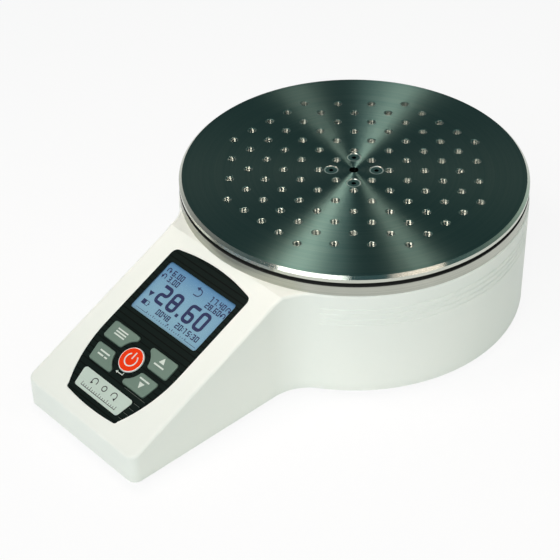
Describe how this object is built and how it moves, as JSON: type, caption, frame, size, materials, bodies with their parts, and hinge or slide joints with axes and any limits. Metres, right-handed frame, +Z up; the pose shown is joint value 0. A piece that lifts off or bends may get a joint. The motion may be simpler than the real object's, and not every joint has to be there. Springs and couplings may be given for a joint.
{
  "type": "bench torque tester",
  "caption": "Bench torque tester: a round plate with a grid of tapped holes on a torque sensor, in a white housing whose sloping tongue carries a display and keys.",
  "frame": {"origin": "on the table under the middle of the bounding box", "axes": "+Z up, -Y towards the user at the display end, +X to the user's right"},
  "size_m": [0.198, 0.3004, 0.0815],
  "materials": {
    "white_paint": "satin paint",
    "satin_aluminium": "satin turned",
    "plain_aluminium": "milled",
    "turned_steel": "turned",
    "bright_steel": "smooth",
    "dark_steel": "blackened",
    "black_rubber": "matt",
    "black_film": "satin",
    "clear_plastic": "clear",
    "display_blue": "lit",
    "white_plastic": "matt",
    "grey_key": "matt",
    "red_key": "satin",
    "silver_film": "satin",
    "green_board": "satin",
    "black_plastic": "matt",
    "tin": "bright",
    "foil": "satin",
    "battery_wrap": "gloss",
    "lead_sheath": "matt"
  },
  "bodies": {
    "chassis": {"housing": "white_paint", "base_plate": "plain_aluminium", "base_screws": "bright_steel", "rubber_feet": "black_rubber", "foot_screws": "bright_steel", "torque_sensor": "bright_steel", "sensor_screws": "bright_steel", "strain_gauges": "foil", "collar_ring": "satin_aluminium", "collar_screws": "dark_steel", "panel_overlay": "black_film", "display_window": "clear_plastic", "lcd_panel": "display_blue", "lcd_backlight": "white_plastic", "lcd_frame": "tin", "info_label": "silver_film", "main_board": "green_board", "board_standoffs": "tin", "board_screws": "bright_steel", "key_switches": "black_plastic", "board_chips": "black_plastic", "io_board": "green_board", "board_link": "black_plastic", "port_plate": "dark_steel", "port_screws": "bright_steel", "usb_socket": "tin", "data_connector": "black_plastic", "charger_jack": "black_plastic", "battery_pack": "battery_wrap", "battery_bracket": "plain_aluminium", "bracket_screws": "bright_steel", "sensor_lead": "lead_sheath", "battery_lead": "lead_sheath"},
    "plate": {"torque_plate": "turned_steel", "sensor_hub": "bright_steel", "plate_screws": "dark_steel", "stop_pins": "bright_steel"},
    "power_key": {"power_key": "red_key"},
    "upper_left_key": {"upper_left_key": "grey_key"},
    "upper_right_key": {"upper_right_key": "grey_key"},
    "lower_left_key": {"lower_left_key": "grey_key"},
    "lower_right_key": {"lower_right_key": "grey_key"}
  },
  "joints": [
    {"name": "plate_twist", "type": "hinge", "parent": "chassis", "child": "plate", "pos_m": [0, 0.05117, 0.056], "axis": [0, 0, 1], "range_deg": [-0.5, 0.5], "stiffness_Nm_per_rad": 1300},
    {"name": "power_key_press", "type": "slide", "parent": "chassis", "child": "power_key", "axis": [0, 0.4242, -0.9056], "range_m": [0, 0.0005], "stiffness_N_per_m": 2500, "springref_m": -0.0001},
    {"name": "upper_left_key_press", "type": "slide", "parent": "chassis", "child": "upper_left_key", "axis": [0, 0.4242, -0.9056], "range_m": [0, 0.0005], "stiffness_N_per_m": 2500, "springref_m": -0.0001},
    {"name": "upper_right_key_press", "type": "slide", "parent": "chassis", "child": "upper_right_key", "axis": [0, 0.4242, -0.9056], "range_m": [0, 0.0005], "stiffness_N_per_m": 2500, "springref_m": -0.0001},
    {"name": "lower_left_key_press", "type": "slide", "parent": "chassis", "child": "lower_left_key", "axis": [0, 0.4242, -0.9056], "range_m": [0, 0.0005], "stiffness_N_per_m": 2500, "springref_m": -0.0001},
    {"name": "lower_right_key_press", "type": "slide", "parent": "chassis", "child": "lower_right_key", "axis": [0, 0.4242, -0.9056], "range_m": [0, 0.0005], "stiffness_N_per_m": 2500, "springref_m": -0.0001}
  ]
}
